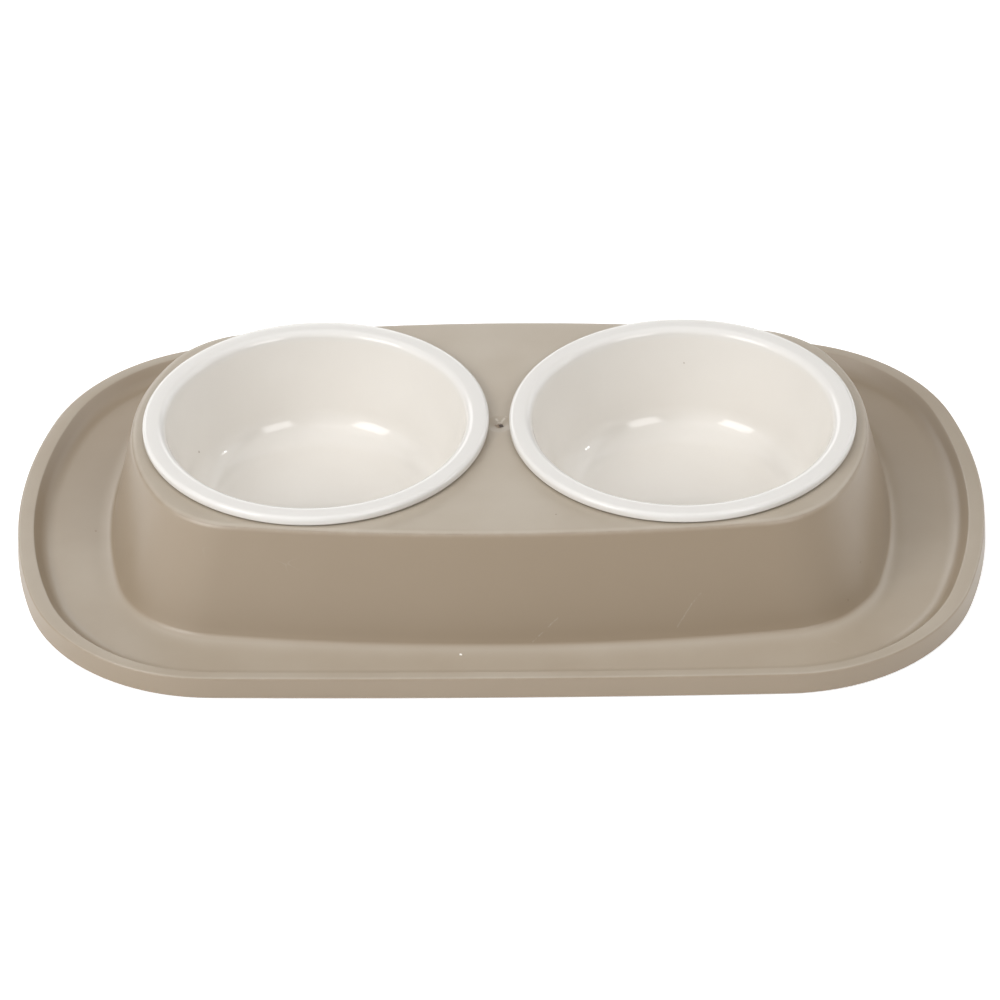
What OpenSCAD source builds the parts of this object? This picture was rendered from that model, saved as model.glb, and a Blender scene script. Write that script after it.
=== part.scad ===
// Double pet bowl: a moulded spill tray with a raised platform that carries two drop-in bowls.
// The table is z = 0, the long side runs along X and the front faces -Y.

/* [Tray] */
// Width of the moat's floor at the two ends
moat_w_end = 25.8; // [6:0.2:40]
// Width of the moat's floor along the two sides
moat_w_side = 13.1; // [4:0.1:26]
// Height of the lip above the table
lip_h = 10.6; // [9:0.2:14]
// Width of the lip's flat top at the two ends
lip_w_end = 6.6; // [5:0.2:9]
// Width of the lip's flat top along the two sides
lip_w_side = 4.8; // [4:0.2:8]
// Rounding of the lip's outer edge
lip_round = 1.4; // [0.6:0.1:1.8]
// Sideways run of the sloping wall inside the lip, with the hollow at its foot
lip_run = 8.6; // [6:0.2:11]
// Reach of the hollow where the moat's floor turns up into the lip
moat_round = 1.8; // [1:0.1:2.6]
// Lean of the outer skirt from foot to lip
skirt_draft = 0.6; // [0.2:0.1:1.2]
// Thickness of the outer skirt
skirt_t = 2.2; // [1.6:0.1:2.6]
// Height of the moat floor above the table
moat_h = 4.6; // [4:0.1:6]
// Thickness of the moat floor
moat_t = 2.4; // [1.8:0.1:2.8]

/* [Platform] */
// Height of the deck above the table
deck_h = 53.6; // [44:0.2:64]
// Deck left beyond the rims at the two ends
deck_end = 5; // [1.5:0.5:10]
// Deck left beyond the rims along the two sides
deck_side = 5.2; // [3:0.2:10]
// Sideways run of the platform's walls at the two ends
flare_end = 11.5; // [7:0.5:17]
// Sideways run of the platform's walls along the two sides
flare_side = 20.3; // [15:0.1:25]
// Reach of the rounded edge round the deck
deck_round = 2.6; // [2:0.2:5]
// Reach of the hollow at the platform's foot
plinth_round = 3.2; // [2:0.2:6]
// Thickness of the deck and of the platform's walls
shell_t = 2.4; // [1.8:0.1:3]

/* [Apertures] */
// Clearance of the aperture round the bowl's wall
hole_gap = 1; // [0.4:0.1:1.6]
// Thickness of the collar under each aperture
collar_t = 2; // [1.4:0.1:2.6]
// Depth of the collar below the deck
collar_h = 9; // [5:0.5:14]
// Thickness of the web between the two apertures
web_t = 2.2; // [1.6:0.1:3]
// Depth of the web below the deck
web_h = 18; // [10:1:26]
// Diameter of the recess round the moulding gate
gate_d = 13; // [9:0.5:15]
// Depth of the recess round the moulding gate
gate_depth = 0.8; // [0.4:0.1:1]
// Diameter of the torn stub in the recess
stub_d = 2.8; // [2:0.1:4]
// Height of the torn stub above the recess
stub_h = 0.5; // [0.2:0.1:0.7]

/* [Bowls] */
// Outer diameter of the rim
rim_d = 156; // [152:0.5:160]
// Gap between the two rims
bowl_gap = 9; // [6:0.5:14]
// Height of the rim's top above the deck
rim_rise = 4.8; // [4:0.1:6]
// Height of the rim's turned-down edge
rim_edge_h = 3.9; // [3.2:0.1:3.9]
// Thickness of the rim's turned-down edge
rim_edge_t = 2.4; // [2:0.1:3]
// Rounding of the rim's outer edge
rim_round = 2; // [1.2:0.1:2]
// Width of the rim's flat top
rim_flat = 4.4; // [3:0.1:6]
// Radius of the soft shoulder from the rim into the bowl
shoulder_r = 4; // [3.2:0.1:5]
// Thickness of the bowl's wall and floor
bowl_t = 2.6; // [2:0.1:3]
// Height of the bowl's foot ring above the table
bowl_clear = 5.4; // [4:0.2:18]
// Radius of the hollow between wall and floor
hollow_r = 17; // [12:0.5:22]
// Lean of the bowl's wall from upright, in degrees
wall_lean = 14; // [8:0.5:18]
// Width of the step that seats on the deck
seat_w = 2.2; // [1.4:0.1:2.6]
// Height of the foot ring under the bowl
ring_h = 1.6; // [0.8:0.1:2]
// Width of the foot ring under the bowl
ring_w = 3; // [2:0.1:4]
// Distance from the edge of the bowl's flat floor in to the foot ring
ring_in = 10; // [8:0.5:18]

/* [Feet] */
// Diameter of a rubber foot
foot_d = 12; // [9:0.5:13]
// Height by which the feet hold the skirt off the table
foot_show = 0.6; // [0.2:0.1:1]
// Clearance between a foot and its locating ring
foot_gap = 0.3; // [0.2:0.1:0.5]
// Thickness of the locating ring
foot_ring_t = 1.4; // [0.8:0.1:1.6]
// Depth of the locating ring below the moat
foot_ring_h = 1; // [0.4:0.1:1.2]
// Rounding of a foot's lower edge
foot_round = 0.5; // [0.2:0.1:0.8]
// Distance from the platform's ends in to the corner feet
foot_in_end = 13; // [11:0.5:17]
// Distance from the platform's sides in to the corner feet
foot_in_side = 13.5; // [11.5:0.5:16.5]

/* [Hidden] */
$fn = 96;

// Shape of the ovals: side radius over half length, end and corner radius over half width
tray_side_share = 27;
tray_end_share = 1.7;
tray_corner_share = 0.68;
deck_side_share = 5.8;
deck_end_share = 1.26;
deck_corner_share = 0.55;
plinth_side_share = 5.3;
plinth_end_share = 2.35;
plinth_corner_share = 0.475;

// Points on one quarter of an oval, and rings in one curved blend
end_points = 6;
corner_points = 9;
side_points = 6;
blend_rings = 5;

// Plan sizes, from the bowls outwards to the tray's foot
bowl_pitch = rim_d + bowl_gap;
deck_len = bowl_pitch + rim_d + 2 * deck_end;
deck_wid = rim_d + 2 * deck_side;
plinth_len = deck_len + 2 * flare_end;
plinth_wid = deck_wid + 2 * flare_side;
lip_reach = lip_run + lip_round + skirt_draft;
tray_len = plinth_len + 2 * (moat_w_end + lip_w_end + lip_reach);
tray_wid = plinth_wid + 2 * (moat_w_side + lip_w_side + lip_reach);

overrun = 1;
skirt_z = foot_show;
moat_under = moat_h - moat_t;
lip_under = lip_h - shell_t;
deck_under = deck_h - shell_t;

// The slope inside the lip, and the sideways distance between its two faces
slope_run = lip_run - moat_round;
slope_rise = lip_h - moat_h;
slope_len = norm([slope_run, slope_rise]);
slope_back = shell_t * slope_len / slope_rise;

// Parallel walls on a leaning platform sit this much closer than their thickness
lean_share = 0.75;

// Colours of the three materials
taupe = [0.66, 0.62, 0.55];
cream = [0.93, 0.91, 0.86];
grey = [0.32, 0.31, 0.3];

// An oval is half length, half width, side radius, end radius and corner radius
function oval(len, wid, side_share, end_share, corner_share) =
    [len / 2, wid / 2, len / 2 * side_share, wid / 2 * end_share, wid / 2 * corner_share];

// The same oval drawn in by a distance, or by one distance at the ends and another at the sides
function inset(o, d) = [for (v = o) v - d];
function inset_two(o, d_end, d_side) = [o[0] - d_end, o[1] - d_side, o[2] - d_side, o[3] - d_end, o[4] - d_end];

// Centre of the corner arc that runs smoothly into the side arc and the end arc
function corner_centre(o) =
    let (side = [0, o[1] - o[2]], end = [o[0] - o[3], 0])
    let (p = o[2] - o[4], q = o[3] - o[4], span = end - side, far = norm(span))
    let (along = (p * p - q * q + far * far) / (2 * far), across = sqrt(p * p - along * along))
    side + along * span / far + across * [span[1], -span[0]] / far;

// Points along an arc, without its last point
function arc(centre, radius, from, to, count) =
    [for (i = [0 : count - 1]) centre + radius * [cos(from + (to - from) * i / count),
        sin(from + (to - from) * i / count)]];

// One quarter of the oval from +X round to +Y, with its last point
function quarter(o) =
    let (c = corner_centre(o), side = [0, o[1] - o[2]], end = [o[0] - o[3], 0])
    let (a_end = atan2(c[1] - end[1], c[0] - end[0]), a_side = atan2(c[1] - side[1], c[0] - side[0]))
    concat(arc(end, o[3], 0, a_end, end_points), arc(c, o[4], a_end, a_side, corner_points),
        arc(side, o[2], a_side, 90, side_points), [[0, o[1]]]);

// The whole oval as a ring of points at one height
function ring(o, z) =
    let (q = quarter(o), last = len(q) - 1)
    concat(
        [for (i = [0 : last - 1]) [q[i][0], q[i][1], z]],
        [for (i = [last : -1 : 1]) [-q[i][0], q[i][1], z]],
        [for (i = [0 : last - 1]) [-q[i][0], -q[i][1], z]],
        [for (i = [last : -1 : 1]) [q[i][0], -q[i][1], z]]);

// A ring part of the way from one ring to another
function between(a, b, share) = [for (i = [0 : len(a) - 1]) a[i] + share * (b[i] - a[i])];

// Rings of a smooth blend that leaves ring a towards ring m and arrives at ring b
function blend(a, m, b, count) =
    [for (k = [0 : count]) between(between(a, m, k / count), between(m, b, k / count), k / count)];

// Skin over a stack of rings, from the first ring's cap to the last ring's cap
module loft(rings) {
    n = len(rings[0]);
    top = len(rings) - 1;
    walls = [for (k = [0 : top - 1]) for (i = [0 : n - 1]) for (half = [0, 1])
        half == 0 ? [k * n + i, (k + 1) * n + (i + 1) % n, k * n + (i + 1) % n]
            : [k * n + i, (k + 1) * n + i, (k + 1) * n + (i + 1) % n]];
    first = [[for (i = [0 : n - 1]) i]];
    final = [[for (i = [n - 1 : -1 : 0]) top * n + i]];
    polyhedron(points = [for (r = rings) for (p = r) p], faces = concat(first, walls, final), convexity = 8);
}

// Outlines of the base
tray_oval = oval(tray_len, tray_wid, tray_side_share, tray_end_share, tray_corner_share);
skirt_top_oval = inset(tray_oval, skirt_draft);
lip_oval = inset_two(inset(skirt_top_oval, lip_round), lip_w_end, lip_w_side);
moat_oval = inset(lip_oval, lip_run);
deck_oval = oval(deck_len, deck_wid, deck_side_share, deck_end_share, deck_corner_share);
plinth_oval = oval(plinth_len, plinth_wid, plinth_side_share, plinth_end_share, plinth_corner_share);

// Outer face, from the skirt's foot over the lip and moat up to the deck
lip_edge = ring(lip_oval, lip_h);
slope_foot = ring(inset(lip_oval, slope_run), moat_h);
moat_edge = ring(moat_oval, moat_h);
plinth_ring = ring(plinth_oval, moat_h);
deck_ring = ring(deck_oval, deck_h);
wall_rise = deck_h - moat_h;
outer_rings = concat(
    [ring(tray_oval, skirt_z)],
    blend(ring(skirt_top_oval, lip_h - lip_round), ring(skirt_top_oval, lip_h),
        ring(inset(skirt_top_oval, lip_round), lip_h), blend_rings - 1),
    [lip_edge],
    blend(between(slope_foot, lip_edge, moat_round / slope_len), slope_foot, moat_edge, blend_rings),
    blend(ring(inset(plinth_oval, -plinth_round), moat_h), plinth_ring,
        between(plinth_ring, deck_ring, plinth_round / wall_rise), blend_rings),
    blend(between(plinth_ring, deck_ring, 1 - deck_round / wall_rise), deck_ring,
        ring(inset(deck_oval, deck_round), deck_h), blend_rings));

// Line on the underside of the slope at one height
function slope_under(z) = ring(inset(lip_oval, (lip_h - z) * slope_run / slope_rise - slope_back), z);

// Inner face, from under the deck down the platform, under the moat and up inside the lip
wall_in = shell_t * lean_share;
deck_in = ring(inset(deck_oval, wall_in), deck_under);
plinth_in = ring(inset(plinth_oval, wall_in), moat_under);
skirt_in = ring(inset(skirt_top_oval, skirt_t), lip_under);
inner_rings = concat(
    blend(ring(inset(deck_oval, deck_round + wall_in), deck_under), deck_in,
        between(deck_in, plinth_in, deck_round / wall_rise), blend_rings - 2),
    [plinth_in, slope_under(moat_under), slope_under(lip_under), skirt_in,
        ring(inset(tray_oval, skirt_t), skirt_z)]);

module tray_shell() {
    loft(concat(inner_rings, outer_rings));
}

// Bowl section
rim_r = rim_d / 2;
rim_top = deck_h + rim_rise;
bowl_floor = bowl_clear + ring_h + bowl_t;
shoulder_x = rim_r - rim_round - rim_flat;
wall_out = [cos(wall_lean), -sin(wall_lean)];
wall_up = [sin(wall_lean), cos(wall_lean)];
shoulder_c = [shoulder_x, rim_top - shoulder_r];
wall_top = shoulder_c - shoulder_r * wall_out;
wall_len = (wall_top[1] - bowl_floor - hollow_r * (1 - sin(wall_lean))) / cos(wall_lean);
wall_foot = wall_top - wall_len * wall_up;
hollow_c = wall_foot - hollow_r * wall_out;

// Aperture sized from the bowl's wall where it passes the deck
wall_at_deck = wall_top[0] + bowl_t / cos(wall_lean) - (wall_top[1] - deck_h) * tan(wall_lean);
hole_r = wall_at_deck + hole_gap;

// Quarter of a ring in section: what lies between two radii and two angles
module bend(centre, r_in, r_out, from, to) {
    reach = 2 * r_out;
    translate(centre) intersection() {
        difference() {
            circle(r = r_out);
            if (r_in > 0) circle(r = r_in);
        }
        polygon([[0, 0], reach * [cos(from), sin(from)],
            reach * [cos((from + to) / 2), sin((from + to) / 2)], reach * [cos(to), sin(to)]]);
    }
}

module bowl_section() {
    // Floor
    translate([0, bowl_floor - bowl_t]) square([hollow_c[0], bowl_t]);
    // Hollow between floor and wall
    bend(hollow_c, hollow_r, hollow_r + bowl_t, -90, -wall_lean);
    // Leaning wall
    polygon([wall_foot, wall_foot + bowl_t * wall_out, wall_top + bowl_t * wall_out, wall_top]);
    // Shoulder into the rim
    bend(shoulder_c, shoulder_r - bowl_t, shoulder_r, 90, 180 - wall_lean);
    // Rim plate
    translate([shoulder_x, rim_top - bowl_t]) square([rim_flat, bowl_t]);
    // Turned-down edge
    bend([rim_r - rim_round, rim_top - rim_round], 0, rim_round, 0, 90);
    translate([rim_r - rim_edge_t, rim_top - rim_edge_h + rim_edge_t / 2])
        square([rim_edge_t, rim_edge_h - rim_round - rim_edge_t / 2]);
    translate([rim_r - rim_edge_t / 2, rim_top - rim_edge_h + rim_edge_t / 2]) circle(d = rim_edge_t);
    // Step that seats on the deck
    translate([hole_r, deck_h]) square([seat_w, rim_rise - bowl_t / 2]);
    // Foot ring
    translate([hollow_c[0] - ring_in, bowl_clear]) square([ring_w, ring_h + bowl_t / 2]);
}

module bowl(x) {
    translate([x, 0, 0]) rotate_extrude() bowl_section();
}

// Places of the feet: four at the platform's corners and two along the middle of the moat's sides
foot_t = moat_under;
foot_x = plinth_len / 2 - foot_in_end;
foot_y = plinth_wid / 2 - foot_in_side;
foot_mid_y = plinth_wid / 2 + moat_w_side / 2;
foot_places = [[-foot_x, -foot_y], [0, -foot_mid_y], [foot_x, -foot_y],
    [-foot_x, foot_y], [0, foot_mid_y], [foot_x, foot_y]];
foot_ring_r = foot_d / 2 + foot_gap + foot_ring_t;

module foot_socket() {
    translate([0, 0, moat_under - foot_ring_h]) difference() {
        cylinder(h = foot_ring_h + moat_t / 2, r = foot_ring_r);
        translate([0, 0, -overrun]) cylinder(h = foot_ring_h + overrun, d = foot_d + 2 * foot_gap);
    }
}

module foot(place) {
    translate([place[0], place[1], 0]) rotate_extrude() {
        translate([0, foot_round]) square([foot_d / 2, foot_t - foot_round]);
        square([foot_d / 2 - foot_round, foot_t]);
        translate([foot_d / 2 - foot_round, foot_round]) circle(r = foot_round);
    }
}

// Web across the platform between the two apertures, ending inside the walls
module centre_web() {
    half_top = deck_wid / 2 - wall_in;
    half_low = half_top + web_h * (plinth_wid - deck_wid) / 2 / wall_rise;
    translate([-web_t / 2, 0, 0]) rotate([90, 0, 90]) linear_extrude(web_t)
        polygon([[-half_top, deck_under + shell_t / 2], [-half_low, deck_under - web_h],
            [half_low, deck_under - web_h], [half_top, deck_under + shell_t / 2]]);
}

module base_tray() {
    color(taupe) difference() {
        union() {
            tray_shell();
            for (side = [-1, 1]) translate([side * bowl_pitch / 2, 0, deck_under - collar_h])
                cylinder(h = collar_h + shell_t / 2, r = hole_r + collar_t);
            centre_web();
            for (place = foot_places) translate([place[0], place[1], 0]) foot_socket();
        }
        for (side = [-1, 1]) translate([side * bowl_pitch / 2, 0, deck_under - collar_h - overrun])
            cylinder(h = collar_h + shell_t + 2 * overrun, r = hole_r);
        translate([0, 0, deck_h - gate_depth]) difference() {
            cylinder(h = gate_depth + overrun, d = gate_d);
            translate([0, 0, -overrun]) cylinder(h = stub_h + overrun, d = stub_d);
        }
    }
}

module bowl_left() { color(cream) bowl(-bowl_pitch / 2); }
module bowl_right() { color(cream) bowl(bowl_pitch / 2); }
module foot_front_left() { color(grey) foot(foot_places[0]); }
module foot_front_middle() { color(grey) foot(foot_places[1]); }
module foot_front_right() { color(grey) foot(foot_places[2]); }
module foot_rear_left() { color(grey) foot(foot_places[3]); }
module foot_rear_middle() { color(grey) foot(foot_places[4]); }
module foot_rear_right() { color(grey) foot(foot_places[5]); }

base_tray();
bowl_left();
bowl_right();
foot_front_left();
foot_front_middle();
foot_front_right();
foot_rear_left();
foot_rear_middle();
foot_rear_right();
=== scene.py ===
import math
import bmesh
import bpy
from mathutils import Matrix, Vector


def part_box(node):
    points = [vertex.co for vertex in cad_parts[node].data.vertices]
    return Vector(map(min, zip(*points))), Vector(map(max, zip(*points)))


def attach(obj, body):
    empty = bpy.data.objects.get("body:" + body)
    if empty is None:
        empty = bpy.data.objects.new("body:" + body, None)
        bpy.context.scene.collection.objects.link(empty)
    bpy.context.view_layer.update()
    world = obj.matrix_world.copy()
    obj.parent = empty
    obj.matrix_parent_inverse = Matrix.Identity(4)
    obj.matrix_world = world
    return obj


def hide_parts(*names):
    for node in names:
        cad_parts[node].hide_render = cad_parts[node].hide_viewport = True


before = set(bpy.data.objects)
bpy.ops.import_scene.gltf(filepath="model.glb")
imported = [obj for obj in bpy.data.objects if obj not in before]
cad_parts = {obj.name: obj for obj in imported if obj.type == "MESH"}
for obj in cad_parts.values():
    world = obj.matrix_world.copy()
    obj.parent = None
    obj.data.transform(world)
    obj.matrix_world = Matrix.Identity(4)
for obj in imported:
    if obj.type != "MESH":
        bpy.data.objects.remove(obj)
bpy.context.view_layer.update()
scene = bpy.context.scene
mm = 0.001


# Outlines: ovals of three arcs a quarter, as rings of points in millimetres

ringSteps = {"end": 12, "corner": 20, "side": 16}


def shapeOval(halfLength, halfWidth, arcs):
    return {"length": halfLength, "width": halfWidth, "side": halfLength * arcs["side"],
            "end": halfWidth * arcs["end"], "corner": halfWidth * arcs["corner"]}


def drawIn(oval, gap):
    return {key: value - gap for key, value in oval.items()}


def drawInTwo(oval, endGap, sideGap):  # one gap at the ends and corners, another along the sides
    gaps = {"length": endGap, "width": sideGap, "side": sideGap, "end": endGap, "corner": endGap}
    return {key: value - gaps[key] for key, value in oval.items()}


def arcPoints(centre, radius, start, stop, steps):  # without its last point
    angles = [start + (stop - start) * step / steps for step in range(steps)]
    return [centre + radius * Vector((math.cos(angle), math.sin(angle))) for angle in angles]


def quarterPoints(oval):
    sideCentre = Vector((0, oval["width"] - oval["side"]))
    endCentre = Vector((oval["length"] - oval["end"], 0))
    sideReach = oval["side"] - oval["corner"]
    endReach = oval["end"] - oval["corner"]
    span = endCentre - sideCentre
    along = (sideReach ** 2 - endReach ** 2 + span.length_squared) / (2 * span.length)
    across = math.sqrt(sideReach ** 2 - along ** 2)
    way = span.normalized()
    cornerCentre = sideCentre + along * way + across * Vector((way.y, -way.x))
    endAngle = math.atan2(*(cornerCentre - endCentre).yx)
    sideAngle = math.atan2(*(cornerCentre - sideCentre).yx)
    points = arcPoints(endCentre, oval["end"], 0, endAngle, ringSteps["end"])
    points += arcPoints(cornerCentre, oval["corner"], endAngle, sideAngle, ringSteps["corner"])
    points += arcPoints(sideCentre, oval["side"], sideAngle, math.pi / 2, ringSteps["side"])
    return points + [Vector((0, oval["width"]))]


def ovalRing(oval, height):
    quarter = quarterPoints(oval)
    points = quarter[:-1]
    points += [Vector((-point.x, point.y)) for point in quarter[:0:-1]]
    points += [Vector((-point.x, -point.y)) for point in quarter[:-1]]
    points += [Vector((point.x, -point.y)) for point in quarter[:0:-1]]
    return [Vector((point.x, point.y, height)) for point in points]


def roundRing(centre, radius, height, steps):
    circle = arcPoints(centre, radius, 0, 2 * math.pi, steps)
    return [Vector((point.x, point.y, height)) for point in circle]


def between(ringA, ringB, share):
    return [pointA.lerp(pointB, share) for pointA, pointB in zip(ringA, ringB)]


def blendRings(start, control, stop, steps):  # leaves start towards control and arrives at stop
    shares = [step / steps for step in range(steps + 1)]
    return [between(between(start, control, share), between(control, stop, share), share) for share in shares]


# Growing a skin ring by ring

def startSkin():
    mesh = bmesh.new()
    mesh.verts.layers.int.new("turn")
    mesh.verts.layers.float.new("worn")
    mesh.verts.layers.float.new("seam")
    return mesh


def firstRing(mesh, points):
    turn = mesh.verts.layers.int["turn"]
    circle = bmesh.ops.create_circle(mesh, cap_ends=False, segments=len(points), radius=1)["verts"]
    for index, vert in enumerate(circle):
        vert[turn] = index
        vert.co = points[index]
    return list({edge for vert in circle for edge in vert.link_edges})


def nextRing(mesh, edges, points, worn=0.0, seam=0.0):
    turn = mesh.verts.layers.int["turn"]
    wornLayer = mesh.verts.layers.float["worn"]
    seamLayer = mesh.verts.layers.float["seam"]
    grown = bmesh.ops.extrude_edge_only(mesh, edges=edges)["geom"]
    verts = {item for item in grown if isinstance(item, bmesh.types.BMVert)}
    for vert in verts:
        vert.co = points[vert[turn]]
        vert[wornLayer] = worn
        vert[seamLayer] = seam
    return [item for item in grown if isinstance(item, bmesh.types.BMEdge) and verts.issuperset(item.verts)]


def growRings(mesh, edges, rings, worn=0.0, seamAt=None):  # wear is strongest in the middle of a convex blend
    for index, points in enumerate(rings):
        rubbed = worn * math.sin(math.pi * index / max(1, len(rings) - 1))
        edges = nextRing(mesh, edges, points, rubbed, 1.0 if index == seamAt else 0.0)
    return edges


def fillFlat(mesh, edges, up):
    bmesh.ops.triangle_fill(mesh, use_beauty=True, use_dissolve=False, edges=edges, normal=(0, 0, up))


def finishPiece(mesh, name, node, body, material, sharpAngle=35):
    bmesh.ops.scale(mesh, vec=(mm, mm, mm), verts=mesh.verts)
    bmesh.ops.recalc_face_normals(mesh, faces=mesh.faces)
    for face in mesh.faces:
        face.smooth = True
    for edge in mesh.edges:
        edge.smooth = edge.calc_face_angle(0) < math.radians(sharpAngle)
    data = bpy.data.meshes.new(name)
    mesh.to_mesh(data)
    mesh.free()
    data.materials.append(material)
    piece = bpy.data.objects.new(name, data)
    scene.collection.objects.link(piece)
    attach(piece, body)
    if node:
        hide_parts(node)
    return piece


def filletPath(corners, steps):  # corners are (across, up, fillet radius)
    path = []
    for index, (across, up, radius) in enumerate(corners):
        here = Vector((across, up))
        if not radius:
            path.append(here)
            continue
        before = (Vector(corners[index - 1][:2]) - here).normalized()
        after = (Vector(corners[index + 1][:2]) - here).normalized()
        half = before.angle(after) / 2
        centre = here + (before + after).normalized() * radius / math.sin(half)
        start = here + before * radius / math.tan(half) - centre
        sweep = start.angle_signed(here + after * radius / math.tan(half) - centre)
        count = max(3, round(steps * abs(sweep) / (math.pi / 2)))
        for step in range(count + 1):
            angle = -sweep * step / count
            path.append(centre + Vector((start.x * math.cos(angle) - start.y * math.sin(angle),
                                         start.x * math.sin(angle) + start.y * math.cos(angle))))
    return path


spinGap = 0.001  # points nearer than this become one


def spinPath(mesh, path, centre, steps):
    verts = [mesh.verts.new((centre.x + point.x, centre.y, point.y)) for point in path]
    edges = [mesh.edges.new(pair) for pair in zip(verts, verts[1:])]
    bmesh.ops.spin(mesh, geom=verts + edges, cent=(centre.x, centre.y, 0), axis=(0, 0, 1), dvec=(0, 0, 0),
                   angle=2 * math.pi, steps=steps, use_merge=True, use_duplicate=False)
    bmesh.ops.remove_doubles(mesh, verts=mesh.verts, dist=spinGap)


def markWorn(mesh, top):  # what the piece stands on is rubbed
    worn = mesh.verts.layers.float.new("worn")
    for vert in mesh.verts:
        vert[worn] = 1.0 if vert.co.z < top else 0.0


# Shader building blocks

def addNode(tree, kind, settings=None, inputs=None):
    node = tree.nodes.new(kind)
    for key, value in (settings or {}).items():
        setattr(node, key, value)
    for key, value in (inputs or {}).items():
        if isinstance(value, bpy.types.NodeSocket):
            tree.links.new(value, node.inputs[key])
        else:
            node.inputs[key].default_value = value
    return node


def calculate(tree, operation, first, second=0.0, clamp=False):
    return addNode(tree, "ShaderNodeMath", {"operation": operation, "use_clamp": clamp},
                   {0: first, 1: second}).outputs[0]


def times(tree, first, second):
    return calculate(tree, "MULTIPLY", first, second)


def combine(tree, operation, first, second):
    key = "Value" if operation in ("DOT_PRODUCT", "DISTANCE") else "Vector"
    return addNode(tree, "ShaderNodeVectorMath", {"operation": operation}, {0: first, 1: second}).outputs[key]


def remap(tree, value, low, high, toLow=0.0, toHigh=1.0):
    inputs = {"Value": value, "From Min": low, "From Max": high, "To Min": toLow, "To Max": toHigh}
    return addNode(tree, "ShaderNodeMapRange", {"clamp": True}, inputs).outputs["Result"]


def mixColour(tree, amount, first, second):
    node = addNode(tree, "ShaderNodeMix", {"data_type": "RGBA"}, {"Factor": amount})
    for socket, colour in ((node.inputs[6], first), (node.inputs[7], second)):
        if isinstance(colour, bpy.types.NodeSocket):
            tree.links.new(colour, socket)
        else:
            socket.default_value = (*colour, 1)
    return node.outputs[2]


def paintOver(tree, colour, mask, show, paint):  # paint where the mask is, as strongly as show says
    return mixColour(tree, times(tree, mask, show), colour, paint)


def noise(tree, where, scale, detail=2.0, roughness=0.5, output=0):
    inputs = {"Vector": where, "Scale": scale, "Detail": detail, "Roughness": roughness}
    return addNode(tree, "ShaderNodeTexNoise", None, inputs).outputs[output]


def newGroup(name, inputs, outputs):
    group = bpy.data.node_groups.new(name, "ShaderNodeTree")
    for label, kind, value in inputs:
        group.interface.new_socket(name=label, in_out="INPUT", socket_type=kind).default_value = value
    for label in outputs:
        group.interface.new_socket(name=label, in_out="OUTPUT", socket_type="NodeSocketFloat")
    return group, group.nodes.new("NodeGroupInput").outputs, group.nodes.new("NodeGroupOutput").inputs


def placeGroup(tree, group, inputs):
    return addNode(tree, "ShaderNodeGroup", {"node_tree": group}, inputs).outputs


def objectPlace(tree):
    return addNode(tree, "ShaderNodeTexCoord").outputs["Object"]


number = "NodeSocketFloat"
place = "NodeSocketVector"


grainLook = {"detail": 3.0, "roughness": 0.6, "noiseShare": 0.6, "cellShare": 0.4, "smoothness": 0.6,
             "fleckRange": (0.35, 0.65)}


def makeGrainGroup():  # the fine spark-eroded texture of a moulded surface
    group, given, out = newGroup("fineGrain", [("Size", number, 0.0005)], ["Height", "Fleck"])
    scale = calculate(group, "DIVIDE", 1.0, given["Size"])
    where = objectPlace(group)
    coarse = noise(group, where, scale, grainLook["detail"], grainLook["roughness"])
    inputs = {"Vector": where, "Scale": scale, "Smoothness": grainLook["smoothness"]}
    cells = addNode(group, "ShaderNodeTexVoronoi", {"feature": "SMOOTH_F1"}, inputs).outputs["Distance"]
    height = calculate(group, "ADD", times(group, coarse, grainLook["noiseShare"]),
                       times(group, cells, grainLook["cellShare"]))
    group.links.new(height, out["Height"])
    group.links.new(remap(group, coarse, *grainLook["fleckRange"]), out["Fleck"])
    return group


cloudLook = {"detail": 4.0, "range": (0.3, 0.7)}


def makeCloudGroup():  # slow uneven tone, as where the melt cooled at different times
    group, given, out = newGroup("slowClouds", [("Size", number, 0.08), ("Seed", number, 0.0)], ["Tone"])
    where = combine(group, "ADD", objectPlace(group), given["Seed"])
    tone = noise(group, where, calculate(group, "DIVIDE", 1.0, given["Size"]), cloudLook["detail"])
    group.links.new(remap(group, tone, *cloudLook["range"]), out["Tone"])
    return group


hairlineLook = {"stretch": (14.0, 110.0, 60.0), "detail": 1.0, "contour": 0.52, "patchScale": 38.0,
                "patchLimits": (0.8, 0.35), "patchGain": 9.0}


def makeHairlineGroup():  # long thin scuffs in patches, from the contour lines of stretched noise
    group, given, out = newGroup("hairlines", [("Turn", number, 0.4), ("Width", number, 0.004),
                                               ("Amount", number, 0.5), ("Seed", number, 0.0)], ["Mask"])
    where = combine(group, "ADD", objectPlace(group), given["Seed"])
    turned = addNode(group, "ShaderNodeVectorRotate", {"rotation_type": "Z_AXIS"},
                     {"Vector": where, "Angle": given["Turn"]}).outputs[0]
    stretched = combine(group, "MULTIPLY", turned, hairlineLook["stretch"])
    field = noise(group, stretched, 1.0, hairlineLook["detail"])
    line = calculate(group, "ABSOLUTE", calculate(group, "SUBTRACT", field, hairlineLook["contour"]))
    thin = calculate(group, "SUBTRACT", 1.0, calculate(group, "DIVIDE", line, given["Width"]), clamp=True)
    patch = noise(group, where, hairlineLook["patchScale"])
    limit = remap(group, given["Amount"], 0.0, 1.0, *hairlineLook["patchLimits"])
    kept = calculate(group, "MULTIPLY", calculate(group, "SUBTRACT", patch, limit), hairlineLook["patchGain"],
                     clamp=True)
    group.links.new(times(group, thin, kept), out["Mask"])
    return group


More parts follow.
